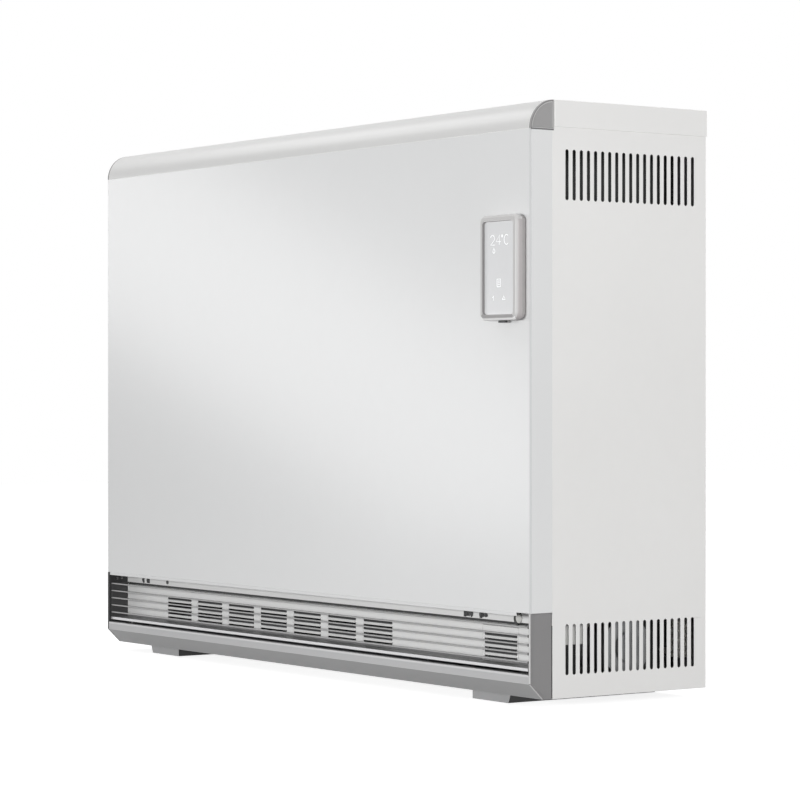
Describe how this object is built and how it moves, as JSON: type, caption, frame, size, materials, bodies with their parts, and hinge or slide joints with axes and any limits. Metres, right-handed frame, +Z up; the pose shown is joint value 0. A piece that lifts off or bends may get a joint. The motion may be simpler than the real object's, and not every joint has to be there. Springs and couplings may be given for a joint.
{
  "type": "storage heater",
  "caption": "Low rectangular fan storage heater on two floor feet, with a slatted warm-air outlet along the bottom, slotted side vents and a touch control unit on the front.",
  "frame": {"origin": "on the floor, at the centre of the whole bounding box in X and Y", "axes": "+X to the right end seen from the front, +Y to the wall side, +Z up"},
  "size_m": [0.928, 0.267, 0.663],
  "materials": {
    "casing_white": "satin powder coat, warm white",
    "front_satin": "satin powder coat with a light sheen",
    "cap_grey": "fine-grained moulded plastic",
    "low_cap_grey": "fine-grained moulded plastic",
    "trim_metal": "satin light grey coat",
    "grille_metal": "drawn, satin anodised",
    "blade_metal": "satin grey coat",
    "zinc_sheet": "zinc-coated sheet with a faint spangle",
    "black_sheet": "matt black coat",
    "foot_metal": "grey coat, worn at the floor",
    "air_plate_metal": "white coat",
    "board_fibre": "pressed microporous board",
    "core_brick": "pressed iron-oxide brick, dull",
    "element_tube": "oxidised steel tube",
    "bush_ceramic": "unglazed steatite",
    "black_plastic": "moulded, fine grain",
    "pale_plastic": "moulded, fine grain",
    "motor_metal": "cast, satin",
    "bimetal": "rolled strip",
    "steel": "drawn, oiled",
    "dark_steel": "blackened",
    "loom": "heat-resistant sleeve",
    "bush_rubber": "moulded",
    "control_frame": "soft satin lacquer",
    "control_glass": "clear-coated display face",
    "circuit_board": "solder resist",
    "mesh": "fine woven mesh",
    "button_red": "moulded"
  },
  "bodies": {
    "casing": {"base_plate": "zinc_sheet", "rear_panel": "zinc_sheet", "side_panel_left": "casing_white", "side_panel_right": "casing_white", "front_panel": "front_satin", "top_cover": "casing_white", "top_profile": "casing_white", "top_end_cap_left": "cap_grey", "top_end_cap_right": "cap_grey", "lower_end_cap_left": "low_cap_grey", "lower_end_cap_right": "low_cap_grey", "base_trim": "trim_metal", "foot_left": "foot_metal", "foot_right": "foot_metal", "air_plate": "air_plate_metal", "frame_left": "black_sheet", "frame_right": "black_sheet", "core_tray": "zinc_sheet", "inner_front_sheet": "zinc_sheet", "insulation_front": "board_fibre", "insulation_rear": "board_fibre", "insulation_left": "board_fibre", "insulation_right": "board_fibre", "insulation_top": "board_fibre", "insulation_bottom": "board_fibre", "brick_bank_1": "core_brick", "brick_bank_2": "core_brick", "brick_bank_3": "core_brick", "heating_element_1": "element_tube", "heating_element_2": "element_tube", "heating_element_3": "element_tube", "element_bushes": "bush_ceramic", "fan_housing": "zinc_sheet", "duct_divider": "zinc_sheet", "fan_motor": "motor_metal", "fan_bearings": "black_plastic", "fan_module": "pale_plastic", "terminal_block": "bush_ceramic", "charge_controller": "pale_plastic", "safety_cutout": "black_plastic", "core_sensor": "steel", "flap_bimetal": "bimetal", "cable_bush": "bush_rubber", "cable_clamp": "bush_ceramic", "wiring_loom": "loom", "panel_screws": "dark_steel", "foot_bolts": "dark_steel", "control_back_plate": "pale_plastic", "control_board": "circuit_board", "control_housing": "control_frame", "control_display": "control_glass", "control_sensor": "black_plastic"},
    "outlet_grille": {"grille_frame": "grille_metal", "grille_blades": "blade_metal"},
    "fan_rotor": {"fan_shaft": "steel", "impellers": "black_plastic"},
    "hot_air_flap": {"mixing_flap": "zinc_sheet"},
    "fluff_filter": {"filter_cassette": "air_plate_metal", "filter_mesh": "mesh"},
    "cutout_button": {"reset_button": "button_red"}
  },
  "joints": [
    {"name": "grille_pull", "type": "slide", "parent": "casing", "child": "outlet_grille", "axis": [0, -1, 0], "range_m": [0, 0.04]},
    {"name": "fan_spin", "type": "hinge", "parent": "casing", "child": "fan_rotor", "pos_m": [0, 0.03155, 0.061], "axis": [1, 0, 0], "continuous": true},
    {"name": "flap_swing", "type": "hinge", "parent": "casing", "child": "hot_air_flap", "pos_m": [0, -0.01745, 0.102], "axis": [1, 0, 0], "range_deg": [0, 35], "stiffness_Nm_per_rad": 0.1, "springref_deg": -34.38},
    {"name": "filter_pull", "type": "slide", "parent": "casing", "child": "fluff_filter", "axis": [0, -1, 0], "range_m": [0, 0.0095]},
    {"name": "reset_press", "type": "slide", "parent": "casing", "child": "cutout_button", "axis": [-1, 0, 0], "range_m": [0, 0.0025], "stiffness_N_per_m": 400}
  ]
}
